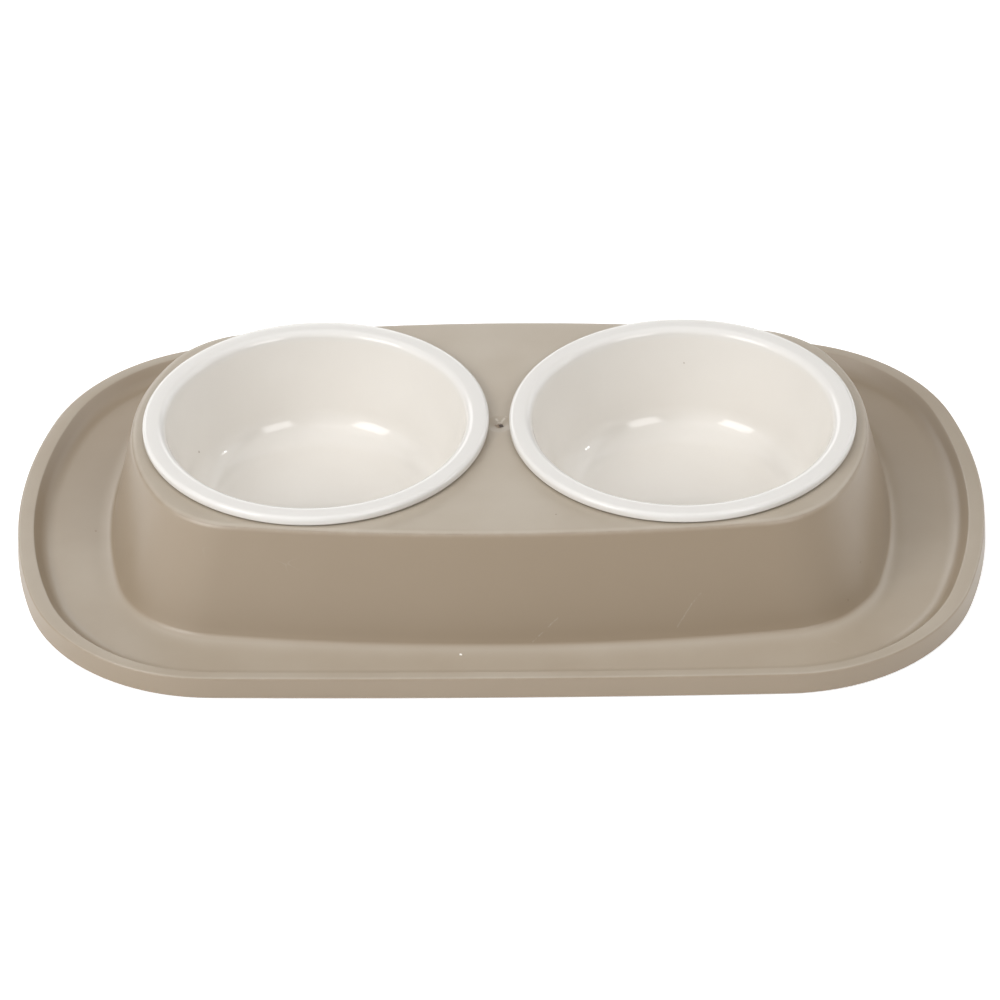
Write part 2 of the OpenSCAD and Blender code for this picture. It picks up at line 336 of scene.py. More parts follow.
def makeDustGroup():  # scattered specks, each in its own cell, most cells empty
    group, given, out = newGroup("dustSpecks", [("Spacing", number, 0.006), ("Share", number, 0.1),
                                                ("Radius", number, 0.0002), ("Seed", number, 0.0)], ["Mask"])
    where = combine(group, "ADD", objectPlace(group), given["Seed"])
    cells = addNode(group, "ShaderNodeTexVoronoi", {"feature": "F1"},
                    {"Vector": where, "Scale": calculate(group, "DIVIDE", 1.0, given["Spacing"])})
    radius = calculate(group, "DIVIDE", given["Radius"], given["Spacing"])
    speck = calculate(group, "LESS_THAN", cells.outputs["Distance"], radius)
    tone = addNode(group, "ShaderNodeSeparateColor", None, {"Color": cells.outputs["Color"]}).outputs[0]
    kept = calculate(group, "LESS_THAN", tone, given["Share"])
    group.links.new(times(group, speck, kept), out["Mask"])
    return group


wearLook = {"detail": 5.0, "roughness": 0.65, "range": (0.4, 0.7), "share": (0.25, 1.0)}


def makeWearGroup():  # rubbed convex edges, where the mesh carries the "worn" value
    group, given, out = newGroup("edgeWear", [("Amount", number, 0.6), ("Size", number, 0.004)], ["Mask"])
    worn = addNode(group, "ShaderNodeAttribute", {"attribute_name": "worn"}).outputs["Fac"]
    scale = calculate(group, "DIVIDE", 1.0, given["Size"])
    patch = noise(group, objectPlace(group), scale, wearLook["detail"], wearLook["roughness"])
    rubbed = remap(group, patch, *wearLook["range"], *wearLook["share"])
    group.links.new(times(group, times(group, worn, rubbed), given["Amount"]), out["Mask"])
    return group


spotLook = {"scale": 1600.0, "range": (0.3, 0.7), "share": (0.6, 1.3)}


def makeSpotGroup():  # one mark with a ragged edge at a place on the part
    group, given, out = newGroup("placedSpot", [("Centre", place, (0, 0, 0)), ("Radius", number, 0.0005)],
                                 ["Mask"])
    away = combine(group, "DISTANCE", objectPlace(group), given["Centre"])
    ragged = noise(group, objectPlace(group), spotLook["scale"])
    reach = times(group, given["Radius"], remap(group, ragged, *spotLook["range"], *spotLook["share"]))
    group.links.new(calculate(group, "LESS_THAN", away, reach), out["Mask"])
    return group


scratchLook = {"bend": 0.0012, "bendScale": 220.0, "breakScale": 420.0, "breakRange": (0.36, 0.5)}


def makeScratchGroup():  # one scratch between two places on the part
    group, given, out = newGroup("placedScratch", [("Start", place, (0, 0, 0)), ("Stop", place, (0.01, 0, 0)),
                                                   ("Width", number, 0.0003)], ["Mask"])
    where = objectPlace(group)
    wobble = noise(group, where, scratchLook["bendScale"], output="Color")
    swing = combine(group, "SUBTRACT", wobble, (0.5, 0.5, 0.5))
    bent = combine(group, "ADD", where, combine(group, "MULTIPLY", swing, (scratchLook["bend"],) * 3))
    span = combine(group, "SUBTRACT", given["Stop"], given["Start"])
    arm = combine(group, "SUBTRACT", bent, given["Start"])
    share = calculate(group, "DIVIDE", combine(group, "DOT_PRODUCT", arm, span),
                      combine(group, "DOT_PRODUCT", span, span), clamp=True)
    foot = addNode(group, "ShaderNodeVectorMath", {"operation": "SCALE"},
                   {0: span, "Scale": share}).outputs[0]
    away = combine(group, "DISTANCE", arm, foot)
    line = calculate(group, "SUBTRACT", 1.0, calculate(group, "DIVIDE", away, given["Width"]), clamp=True)
    broken = noise(group, where, scratchLook["breakScale"])
    group.links.new(times(group, line, remap(group, broken, *scratchLook["breakRange"])), out["Mask"])
    return group


seamLook = {"detail": 3.0, "range": (0.4, 0.66), "share": (0.25, 1.0)}


def makeSeamGroup():  # the fine dark witness line where the mould's halves met, broken along its length
    group, given, out = newGroup("seamLine", [("Size", number, 0.008)], ["Mask"])
    line = addNode(group, "ShaderNodeAttribute", {"attribute_name": "seam"}).outputs["Fac"]
    scale = calculate(group, "DIVIDE", 1.0, given["Size"])
    uneven = noise(group, objectPlace(group), scale, seamLook["detail"])
    group.links.new(times(group, line, remap(group, uneven, *seamLook["range"], *seamLook["share"])),
                    out["Mask"])
    return group


# Painted sheen: a pale colour in place of the reflection on up-facing surfaces, weaker towards the back of
# the moat, where it lies in shade
paintedSheenLook = {
    "facing": (0.66, 0.93),
    "rise": (0.006, 0.014),
    "depth": (-0.03, 0.065),
    "depthShare": (1.3, 0.05),
    "patchScale": 26.0,
    "patchDetail": 4.0,
    "patchRange": (0.3, 0.7),
    "patchShare": (0.8, 1.15),
}


def makePaintedSheenGroup():  # painted sheen: a pale haze standing in for the reflection on what faces up, strongest on the deck and faint at the back of the moat, where the moat lies in shade
    group, given, out = newGroup("paintedSheenVeil", [("Low", number, 0.08), ("High", number, 0.2)], ["Mask"])
    facing = addNode(group, "ShaderNodeTexCoord").outputs["Normal"]
    up = remap(group, combine(group, "DOT_PRODUCT", facing, (0, 0, 1)), *paintedSheenLook["facing"])
    height = combine(group, "DOT_PRODUCT", objectPlace(group), (0, 0, 1))
    behind = combine(group, "DOT_PRODUCT", objectPlace(group), (0, 1, 0))
    low = times(group, given["Low"], remap(group, behind, *paintedSheenLook["depth"], *paintedSheenLook["depthShare"]))
    level = remap(group, height, *paintedSheenLook["rise"], low, given["High"])
    patch = noise(group, objectPlace(group), paintedSheenLook["patchScale"], paintedSheenLook["patchDetail"])
    uneven = remap(group, patch, *paintedSheenLook["patchRange"], *paintedSheenLook["patchShare"])
    group.links.new(times(group, times(group, up, level), uneven), out["Mask"])
    return group


grain = makeGrainGroup()
clouds = makeCloudGroup()
hairlines = makeHairlineGroup()
dust = makeDustGroup()
wear = makeWearGroup()
spot = makeSpotGroup()
scratch = makeScratchGroup()
seamLine = makeSeamGroup()
paintedSheen = makePaintedSheenGroup()
print("shader groups: made")


def startMaterial(name, constants):
    material = bpy.data.materials.new(name)
    material.use_nodes = True
    tree = material.node_tree
    shader = tree.nodes["Principled BSDF"]
    for key, value in constants.items():
        shader.inputs[key].default_value = value
    return material, tree, shader


def addBump(tree, shader, height, distance, strength=1.0, under=None):
    inputs = {"Height": height, "Distance": distance, "Strength": strength}
    if under:
        inputs["Normal"] = under
    bump = addNode(tree, "ShaderNodeBump", None, inputs).outputs["Normal"]
    tree.links.new(bump, shader.inputs["Normal"])
    return bump


def placeSpot(tree, colour, centre, radius, show, paint):
    mask = placeGroup(tree, spot, {"Centre": Vector(centre) * mm, "Radius": radius * mm})["Mask"]
    return paintOver(tree, colour, mask, show, paint)


def placeScratch(tree, colour, start, stop, width, show, paint):
    inputs = {"Start": Vector(start) * mm, "Stop": Vector(stop) * mm, "Width": width * mm}
    mask = placeGroup(tree, scratch, inputs)["Mask"]
    return paintOver(tree, colour, mask, show, paint)


taupe = {
    "light": (0.311, 0.2435, 0.17),
    "dark": (0.296, 0.2295, 0.158),
    # painted sheen colour, mixed in on up-facing surfaces in place of their reflection
    "paintedSheen": (0.70, 0.67, 0.60),
    "scuff": (0.72, 0.68, 0.61),
    "lint": (0.9, 0.88, 0.84),
    "speck": (0.16, 0.12, 0.09),
    "seam": (0.205, 0.152, 0.104),
    "bruise": (0.17, 0.10, 0.052),
    # painted shadow colour, laid in and beside the torn stub's pit where the stub's shadow falls
    "pit": (0.05, 0.03, 0.018),
    "shine": {"Specular IOR Level": 0.8},
    "roughness": (0.34, 0.42),
    "roughFrom": {"tone": 0.6, "fleck": 0.4},
    "cloudSize": 0.09,
    "grainSize": 0.00045,
    "grainDepth": 0.000018,
    "fleckShow": 0.06,
    "wear": {"Amount": 0.07, "Size": 0.006},
    "hairlines": {"Turn": 0.6, "Amount": 0.32},
    "hairlineShow": 0.10,
    "darkSpecks": {"Spacing": 0.014, "Share": 0.10, "Radius": 0.0003, "Seed": 3.0},
    "paleSpecks": {"Spacing": 0.017, "Share": 0.10, "Radius": 0.00028, "Seed": 8.0},
    "speckShow": 0.5,
    "paintedSheenLevels": {"Low": 0.15, "High": 0.292},
    "seamShow": 0.5,
    "whiteSpots": [((-16.5, -106.7, 4.6), 0.75)],
    "whiteShow": 1.0,
    "darkSpots": [((160.1, -63.6, 21.7), 0.6), ((154.1, -78.7, 12.1), 0.5), ((-184.1, -12.1, 4.6), 0.6),
                  ((25.6, -69.9, 53.6), 0.5)],
    "darkShow": 0.55,
    "scratches": [[(15.1, -102.1, 8.0), (17.7, -100.9, 10.4), (20.4, -99.9, 12.8), (23.0, -98.8, 15.3),
                   (26.1, -97.7, 17.7)],
                  [(78.3, -97.4, 11.5), (81.4, -95.1, 16.3), (84.9, -92.8, 21.1), (88.8, -90.6, 25.5)]],
    "scratchWidth": 0.42,
    "scratchShow": 0.15,
    "tornStrokes": [((-1.2, 4.6, 53.1), (0.0, 2.6, 52.5)), ((3.2, 5.6, 53.4), (0.9, 2.5, 52.45))],
    "tornWidth": 0.8,
    "tornShow": 0.6,
    "bruiseSpot": ((0.1, 0.4, 52.5), 1.75, 0.7),
    # painted shadow of the torn stub, beside its pit
    "paintedStubShadow": ((0.9, 0.0, 52.4), 1.15, 1.0),
}


def makeTaupe():  # satin moulded plastic of the base
    material, tree, shader = startMaterial("taupePlastic", taupe["shine"])
    tone = placeGroup(tree, clouds, {"Size": taupe["cloudSize"]})["Tone"]
    fine = placeGroup(tree, grain, {"Size": taupe["grainSize"]})
    colour = mixColour(tree, tone, taupe["light"], taupe["dark"])
    colour = paintOver(tree, colour, fine["Fleck"], taupe["fleckShow"], taupe["dark"])
    rubbed = placeGroup(tree, wear, taupe["wear"])["Mask"]
    colour = mixColour(tree, rubbed, colour, taupe["scuff"])
    lines = placeGroup(tree, hairlines, taupe["hairlines"])["Mask"]
    colour = paintOver(tree, colour, lines, taupe["hairlineShow"], taupe["scuff"])
    for specks, paint in (("darkSpecks", "speck"), ("paleSpecks", "scuff")):
        mask = placeGroup(tree, dust, taupe[specks])["Mask"]
        colour = paintOver(tree, colour, mask, taupe["speckShow"], taupe[paint])
    # painted sheen: pale colour mixed in where surfaces face up, standing in for their reflection
    paintedSheenMask = placeGroup(tree, paintedSheen, taupe["paintedSheenLevels"])["Mask"]
    colour = mixColour(tree, paintedSheenMask, colour, taupe["paintedSheen"])
    seam = placeGroup(tree, seamLine, {})["Mask"]
    colour = paintOver(tree, colour, seam, taupe["seamShow"], taupe["seam"])
    for path in taupe["scratches"]:
        for start, stop in zip(path, path[1:]):
            colour = placeScratch(tree, colour, start, stop, taupe["scratchWidth"], taupe["scratchShow"],
                                  taupe["scuff"])
    for start, stop in taupe["tornStrokes"]:
        colour = placeScratch(tree, colour, start, stop, taupe["tornWidth"], taupe["tornShow"],
                              taupe["scuff"])
    for centre, radius in taupe["darkSpots"]:
        colour = placeSpot(tree, colour, centre, radius, taupe["darkShow"], taupe["seam"])
    for centre, radius in taupe["whiteSpots"]:
        colour = placeSpot(tree, colour, centre, radius, taupe["whiteShow"], taupe["lint"])
    colour = placeSpot(tree, colour, *taupe["bruiseSpot"], taupe["bruise"])
    # painted shadow: a dark spot in and beside the pit of the torn stub, where its shadow falls
    colour = placeSpot(tree, colour, *taupe["paintedStubShadow"], taupe["pit"])
    tree.links.new(colour, shader.inputs["Base Color"])
    uneven = calculate(tree, "ADD", times(tree, tone, taupe["roughFrom"]["tone"]),
                       times(tree, fine["Fleck"], taupe["roughFrom"]["fleck"]))
    tree.links.new(remap(tree, uneven, 0.0, 1.0, *taupe["roughness"]), shader.inputs["Roughness"])
    addBump(tree, shader, fine["Height"], taupe["grainDepth"])
    return material


cream = {
    "light": (0.746, 0.715, 0.668),
    "dark": (0.726, 0.692, 0.642),
    # neutral rim colour; below the band the hollow keeps the warmer tone, painted in for light bounced inside
    # the bowl
    "rim": (0.742, 0.726, 0.702),
    "paintedBounceBand": (0.0535, 0.0575),
    "paintedBounceShow": 0.7,
    "scuff": (0.66, 0.62, 0.54),
    "speck": (0.20, 0.12, 0.06),
    "shine": {"Specular IOR Level": 0.5},
    "roughness": (0.095, 0.135),
    "roughFrom": {"tone": 0.5, "lines": 0.8},
    "clouds": {"Size": 0.05, "Seed": 5.0},
    "grainSize": 0.0009,
    "grainDepth": 0.000004,
    "wave": {"Size": 0.03, "Seed": 9.0},
    "waveDepth": 0.00012,
    "waveStrength": 0.5,
    "hairlines": {"Turn": 1.9, "Amount": 0.3, "Seed": 2.0, "Width": 0.003},
    "hairlineShow": 0.12,
    "darkSpecks": {"Spacing": 0.018, "Share": 0.08, "Radius": 0.00025, "Seed": 1.0},
    "speckShow": 0.6,
    "darkSpots": [((-138.2, 22.0, 24.1), 0.5, 0.7), ((84.5, 64.4, 42.2), 0.45, 0.3)],
}


def makeCream():  # glossy plastic of the bowls, a shade more neutral on the rim; the hollow below keeps a warmer tone as painted bounce light
    material, tree, shader = startMaterial("creamPlastic", cream["shine"])
    tone = placeGroup(tree, clouds, cream["clouds"])["Tone"]
    fine = placeGroup(tree, grain, {"Size": cream["grainSize"]})
    colour = mixColour(tree, tone, cream["light"], cream["dark"])
    # painted bounce light: the hollow is left warmer than the rim, a colour by height
    height = combine(tree, "DOT_PRODUCT", objectPlace(tree), (0, 0, 1))
    rimOverPaintedBounce = remap(tree, height, *cream["paintedBounceBand"], 0.0, cream["paintedBounceShow"])
    colour = mixColour(tree, rimOverPaintedBounce, colour, cream["rim"])
    lines = placeGroup(tree, hairlines, cream["hairlines"])["Mask"]
    colour = paintOver(tree, colour, lines, cream["hairlineShow"], cream["scuff"])
    specks = placeGroup(tree, dust, cream["darkSpecks"])["Mask"]
    colour = paintOver(tree, colour, specks, cream["speckShow"], cream["speck"])
    for centre, radius, show in cream["darkSpots"]:
        colour = placeSpot(tree, colour, centre, radius, show, cream["speck"])
    tree.links.new(colour, shader.inputs["Base Color"])
    uneven = calculate(tree, "ADD", times(tree, tone, cream["roughFrom"]["tone"]),
                       times(tree, lines, cream["roughFrom"]["lines"]))
    tree.links.new(remap(tree, uneven, 0.0, 1.0, *cream["roughness"]), shader.inputs["Roughness"])
    wave = placeGroup(tree, clouds, cream["wave"])["Tone"]
    under = addBump(tree, shader, wave, cream["waveDepth"], cream["waveStrength"])
    addBump(tree, shader, fine["Height"], cream["grainDepth"], under=under)
    return material


rubber = {
    "light": (0.085, 0.08, 0.075),
    "dark": (0.05, 0.047, 0.045),
    "dust": (0.3, 0.28, 0.25),
    "shine": {"Specular IOR Level": 0.3},
    "roughness": (0.7, 0.9),
    "clouds": {"Size": 0.012, "Seed": 4.0},
    "grainSize": 0.0006,
    "grainDepth": 0.00003,
    "specks": {"Spacing": 0.0025, "Share": 0.3, "Radius": 0.0003, "Seed": 6.0},
    "speckShow": 0.6,
    "wear": {"Amount": 0.5, "Size": 0.002},
}


def makeRubber():  # matt rubber of the pads
    material, tree, shader = startMaterial("padRubber", rubber["shine"])
    fine = placeGroup(tree, grain, {"Size": rubber["grainSize"]})
    tone = placeGroup(tree, clouds, rubber["clouds"])["Tone"]
    colour = mixColour(tree, tone, rubber["light"], rubber["dark"])
    specks = placeGroup(tree, dust, rubber["specks"])["Mask"]
    colour = paintOver(tree, colour, specks, rubber["speckShow"], rubber["dust"])
    rubbed = placeGroup(tree, wear, rubber["wear"])["Mask"]
    colour = mixColour(tree, rubbed, colour, rubber["dust"])
    tree.links.new(colour, shader.inputs["Base Color"])
    tree.links.new(remap(tree, fine["Fleck"], 0.0, 1.0, *rubber["roughness"]), shader.inputs["Roughness"])
    addBump(tree, shader, fine["Height"], rubber["grainDepth"])
    return material


taupeMaterial = makeTaupe()
creamMaterial = makeCream()
rubberMaterial = makeRubber()
print("materials: made")


# Sizes taken from the frame, in millimetres

baseLow, baseHigh = [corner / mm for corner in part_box("base_tray")]
leftLow, leftHigh = [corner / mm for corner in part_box("bowl_left")]
rightLow, rightHigh = [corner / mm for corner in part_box("bowl_right")]
rimRadius = (rightHigh.x - rightLow.x) / 2
bowlCentres = {"left": Vector(((leftLow.x + leftHigh.x) / 2, 0)),
               "right": Vector(((rightLow.x + rightHigh.x) / 2, 0))}
footZ = baseLow.z
deckZ = baseHigh.z
rimZ = rightHigh.z

bowl = {
    "wallLean": math.radians(14),
    "thickness": 2.6,
    "shoulder": 4,
    "hollow": 17,
    "rimRound": 2,
    "rimEdge": 2.4,
    "rimEdgeRound": 0.45,
    "rimDrop": 4.3,
    "rimFlat": 4.4,
    "seatWidth": 2.2,
    "seatRound": 0.3,
    "underRound": 0.4,
    "underDrop": 0.4,
    "wallStep": 0.1,
    "holeGap": 1,
    "ringHeight": 1.6,
    "ringWidth": 3,
    "ringIn": 10,
    "ringRound": 0.5,
    "wornRise": 0.3,
    "roundSteps": 14,
    "spinSteps": 176,
    "sharpAngle": 50,
}
bowlFloorZ = rightLow.z + bowl["ringHeight"] + bowl["thickness"]
lean = math.tan(bowl["wallLean"])
wallTurn = math.tan((math.pi / 2 - bowl["wallLean"]) / 2)
# Where the lines of wall and rim, and of wall and floor, would meet in sharp corners
rimInner = rimRadius - bowl["rimRound"] - bowl["rimFlat"] - bowl["shoulder"] * wallTurn
floorInner = rimInner - (rimZ - bowlFloorZ) * lean
wallSkin = bowl["thickness"] / math.cos(bowl["wallLean"])
holeRadius = rimInner - (rimZ - deckZ) * lean + wallSkin + bowl["holeGap"]


def makeBowl(side):
    thick, small = bowl["thickness"], bowl["seatRound"]
    under = rimZ - thick
    drop = rimZ - bowl["rimDrop"]
    edge = bowl["rimEdge"]
    edgeRound = edge * bowl["rimEdgeRound"]
    seatOut = holeRadius + bowl["seatWidth"]
    wallUnder = rimInner - (rimZ - under) * lean + wallSkin
    flatRadius = floorInner - bowl["hollow"] * wallTurn
    ringOut = flatRadius - bowl["ringIn"] + bowl["ringWidth"]
    ringIn = flatRadius - bowl["ringIn"]
    below = bowlFloorZ - thick
    floorOuter = rimInner - (rimZ - below) * lean + wallSkin
    corners = [
        (0, bowlFloorZ, 0),
        (floorInner, bowlFloorZ, bowl["hollow"]),
        (rimInner, rimZ, bowl["shoulder"]),
        (rimRadius, rimZ, bowl["rimRound"]),
        (rimRadius, drop, edgeRound),
        (rimRadius - edge, drop, edgeRound),
        (rimRadius - edge, under, bowl["underRound"]),
        (seatOut, under, small),
        (seatOut, deckZ, small),
        (holeRadius, deckZ, small),
        (holeRadius, under - bowl["underDrop"], 0),
        (wallUnder + bowl["wallStep"], under - bowl["underDrop"], 0),
        (floorOuter, below, bowl["hollow"] + thick),
        (ringOut, below, small),
        (ringOut, rightLow.z, bowl["ringRound"]),
        (ringIn, rightLow.z, bowl["ringRound"]),
        (ringIn, below, small),
        (0, below, 0),
    ]
    mesh = bmesh.new()
    spinPath(mesh, filletPath(corners, bowl["roundSteps"]), bowlCentres[side], bowl["spinSteps"])
    markWorn(mesh, rightLow.z + bowl["wornRise"])
    return finishPiece(mesh, side + "Bowl", "bowl_" + side, side + "_bowl", creamMaterial,
                       bowl["sharpAngle"])


for side in ("left", "right"):
    makeBowl(side)
print("bowls: made")


trayArcs = {"side": 27, "end": 1.7, "corner": 0.68}
deckArcs = {"side": 5.8, "end": 1.26, "corner": 0.55}
plinthArcs = {"side": 5.3, "end": 2.35, "corner": 0.475}

base = {
    "draft": 0.6,
    "skirt": 2.2,
    "lipZ": 10.6,
    "lipRound": 1.4,
    "lipInnerRound": 0.45,
    "lipTopEnd": 5.7,
    "lipTopSide": 3.4,
    "lipRunEnd": 9.5,
    "lipRunSide": 10,
    "moatRound": 4,
    "moatZ": 4.6,
    "moatSkin": 2.4,
    "shell": 2.4,
    "leanShare": 0.75,
    "deckEnd": 5,
    "deckSide": 5.2,
    "flareEnd": 11.5,
    "flareSide": 20.3,
    "deckRound": 2.6,
    "plinthRise": 3.2,
    "plinthRoundEnd": 7,
    "plinthRoundSide": 9,
    "collar": 2,
    "collarDrop": 9,
    "holeRound": 0.7,
    "holeSteps": 128,
    "flatMargin": 0.6,
    "steps": {"lip": 7, "lipEdge": 4, "slope": 4, "foot": 12, "wall": 8, "deckEdge": 12, "hollow": 5,
              "hole": 5},
    "wear": {"lip": 0.8, "lipEdge": 0.6, "deckEdge": 1.0, "hole": 0.5},
    "seamStep": 5,
    "mergeGap": 0.0005,
}
trayOval = shapeOval(baseHigh.x, baseHigh.y, trayArcs)
skirtOval = drawIn(trayOval, base["draft"])
lipOval = drawInTwo(drawIn(skirtOval, base["lipRound"]), base["lipTopEnd"], base["lipTopSide"])
moatOval = drawInTwo(lipOval, base["lipRunEnd"], base["lipRunSide"])
deckLength = rightHigh.x + base["deckEnd"]
deckWidth = rimRadius + base["deckSide"]
deckOval = shapeOval(deckLength, deckWidth, deckArcs)
plinthOval = shapeOval(deckLength + base["flareEnd"], deckWidth + base["flareSide"], plinthArcs)
wallRise = deckZ - base["moatZ"]
slopeRun = base["lipRunEnd"] - base["moatRound"]
slopeRise = base["lipZ"] - base["moatZ"]
slopeLength = math.hypot(slopeRun, slopeRise)


def outerRings():  # skirt, lip, moat, wall and deck edge, each with its wear and the ring that is a seam
    lipZ, moatZ, margin = base["lipZ"], base["moatZ"], base["flatMargin"]
    steps, rubbed = base["steps"], base["wear"]
    plinthRing, deckRing = ovalRing(plinthOval, moatZ), ovalRing(deckOval, deckZ)
    slopeFoot = ovalRing(drawIn(moatOval, -base["moatRound"]), moatZ)
    edgeRing = ovalRing(lipOval, lipZ)
    edgeOut = ovalRing(drawIn(lipOval, -base["lipInnerRound"]), lipZ)
    slopeTop = between(edgeRing, slopeFoot, base["lipInnerRound"] / slopeLength)
    slopeLow = between(slopeFoot, edgeRing, base["moatRound"] / slopeLength)
    footOval = drawInTwo(plinthOval, -base["plinthRoundEnd"], -base["plinthRoundSide"])
    footTop = between(plinthRing, deckRing, base["plinthRise"] / wallRise)
    wallTop = between(plinthRing, deckRing, 1 - base["deckRound"] / wallRise)
    yield blendRings(ovalRing(skirtOval, lipZ - base["lipRound"]), ovalRing(skirtOval, lipZ),
                     ovalRing(drawIn(skirtOval, base["lipRound"]), lipZ), steps["lip"]), rubbed["lip"], None
    yield blendRings(edgeOut, edgeRing, slopeTop, steps["lipEdge"]), rubbed["lipEdge"], None
    yield [between(slopeTop, slopeLow, step / steps["slope"]) for step in range(1, steps["slope"])], 0.0, None
    yield blendRings(slopeLow, slopeFoot, ovalRing(moatOval, moatZ), steps["foot"]), 0.0, None
    yield [ovalRing(drawIn(moatOval, margin), moatZ)], 0.0, None
    yield [ovalRing(drawIn(footOval, -margin), moatZ)], 0.0, None
    yield blendRings(ovalRing(footOval, moatZ), plinthRing, footTop, steps["foot"]), 0.0, None
    yield [between(footTop, wallTop, step / steps["wall"]) for step in range(1, steps["wall"])], 0.0, None
    yield (blendRings(wallTop, deckRing, ovalRing(drawIn(deckOval, base["deckRound"]), deckZ),
                      steps["deckEdge"]), rubbed["deckEdge"], base["seamStep"])
    yield [ovalRing(drawIn(deckOval, base["deckRound"] + margin), deckZ)], 0.0, None


def innerRings():  # the hollow side, from the skirt's foot up to the underside of the deck, never worn
    under = base["moatZ"] - base["moatSkin"]
    lipUnder = base["lipZ"] - base["shell"]
    wallIn = base["shell"] * base["leanShare"]
    deckUnder = deckZ - base["shell"]
    slopeBack = base["shell"] * slopeLength / slopeRise
    slopeUnder = []
    for height in (lipUnder, under):
        reach = base["moatRound"] + slopeBack + (height - base["moatZ"]) * slopeRun / slopeRise
        slopeUnder.append(ovalRing(drawIn(moatOval, -reach), height))
    plinthIn = ovalRing(drawIn(plinthOval, wallIn), under)
    deckIn = ovalRing(drawIn(deckOval, wallIn), deckUnder)
    yield [ovalRing(drawIn(trayOval, base["skirt"]), footZ),
           ovalRing(drawIn(skirtOval, base["skirt"]), lipUnder)]
    yield [*slopeUnder, plinthIn]
    flatRing = ovalRing(drawIn(deckOval, base["deckRound"] + wallIn), deckUnder)
    yield blendRings(between(deckIn, plinthIn, base["deckRound"] / wallRise), deckIn, flatRing,
                     base["steps"]["hollow"])


def growHole(mesh, centre):
    soft = base["holeRound"]
    under = deckZ - base["shell"]
    wide, low = holeRadius + base["collar"], under - base["collarDrop"]

    def circle(radius, height):
        return roundRing(centre, radius, height, base["holeSteps"])

    topEdges = firstRing(mesh, circle(holeRadius + soft + base["flatMargin"], deckZ))
    softRings = blendRings(circle(holeRadius + soft, deckZ), circle(holeRadius, deckZ),
                           circle(holeRadius, deckZ - soft), base["steps"]["hole"])
    edges = growRings(mesh, topEdges, softRings, base["wear"]["hole"])
    for radius, height in ((holeRadius, low), (wide, low), (wide, under)):
        edges = nextRing(mesh, edges, circle(radius, height))
    return topEdges, edges


gateMark = {
    "margin": 0.3,
    "radius": 6.3,
    "edge": 0.35,
    "depth": 1.35,
    "floorRadius": 1.7,
    "floorSlope": (0.5, 0.1),
    "stubRadius": 1.2,
    "stubRise": 0.35,
    "stubFoot": 0.25,
    "stubRound": 0.2,
    "stubStep": 0.15,
    "pitRadius": 0.7,
    "pitDepth": 0.5,
    "pitLean": 0.15,
    "pitTip": 0.1,
    "roundSteps": {"edge": 4, "stub": 3, "pit": 4},
    "steps": 64,
}


def growGate(mesh):  # the moulding gate: a shallow cone with the torn stub in its middle
    rim, edge, low = gateMark["radius"], gateMark["edge"], deckZ - gateMark["depth"]
    stub, stubZ = gateMark["stubRadius"], low + gateMark["stubRise"]
    stubFoot, stubStep = stub + gateMark["stubFoot"], gateMark["stubStep"]
    pit, pitZ = gateMark["pitRadius"], stubZ - gateMark["pitDepth"]
    slopeOut, slopeUp = gateMark["floorSlope"]
    drop = edge * gateMark["depth"] / (rim - gateMark["floorRadius"])
    softly = gateMark["roundSteps"]

    def circle(radius, height):
        return roundRing(Vector((0, 0)), radius, height, gateMark["steps"])

    topEdges = firstRing(mesh, circle(rim + edge + gateMark["margin"], deckZ))
    runs = [
        blendRings(circle(rim + edge, deckZ), circle(rim, deckZ), circle(rim - edge, deckZ - drop),
                   softly["edge"]),
        [circle(gateMark["floorRadius"] + slopeOut, low + slopeUp), circle(gateMark["floorRadius"], low)],
        blendRings(circle(stubFoot, low), circle(stub, low), circle(stub, low + stubStep), softly["stub"]),
        blendRings(circle(stub, stubZ - stubStep), circle(stub, stubZ),
                   circle(stub - gateMark["stubRound"], stubZ), softly["stub"]),
        blendRings(circle(pit, stubZ), circle(pit - gateMark["pitLean"], pitZ),
                   circle(gateMark["pitTip"], pitZ), softly["pit"]),
    ]
    edges = topEdges
    for rings in runs:
        edges = growRings(mesh, edges, rings)
    bmesh.ops.edgeloop_fill(mesh, edges=edges)
    return topEdges


def makeBase():
    mesh = startSkin()
    footEdges = firstRing(mesh, ovalRing(trayOval, footZ))
    deckEdges = footEdges
    for rings, worn, seamAt in outerRings():
        deckEdges = growRings(mesh, deckEdges, rings, worn, seamAt)
    underEdges = footEdges
    for rings in innerRings():
        underEdges = growRings(mesh, underEdges, rings)
    holes = [growHole(mesh, centre) for centre in bowlCentres.values()]
    deckEdges = deckEdges + growGate(mesh)
    for topEdges, lowEdges in holes:
        deckEdges = deckEdges + topEdges
        underEdges = underEdges + lowEdges
    fillFlat(mesh, deckEdges, 1)
    fillFlat(mesh, underEdges, -1)
    bmesh.ops.remove_doubles(mesh, verts=mesh.verts, dist=base["mergeGap"])
    return finishPiece(mesh, "baseMoulding", "base_tray", "base", taupeMaterial)


makeBase()
print("base: made")


web = {"thickness": 2.2, "drop": 18, "soften": 0.35, "softSteps": 3, "slack": 0.01}


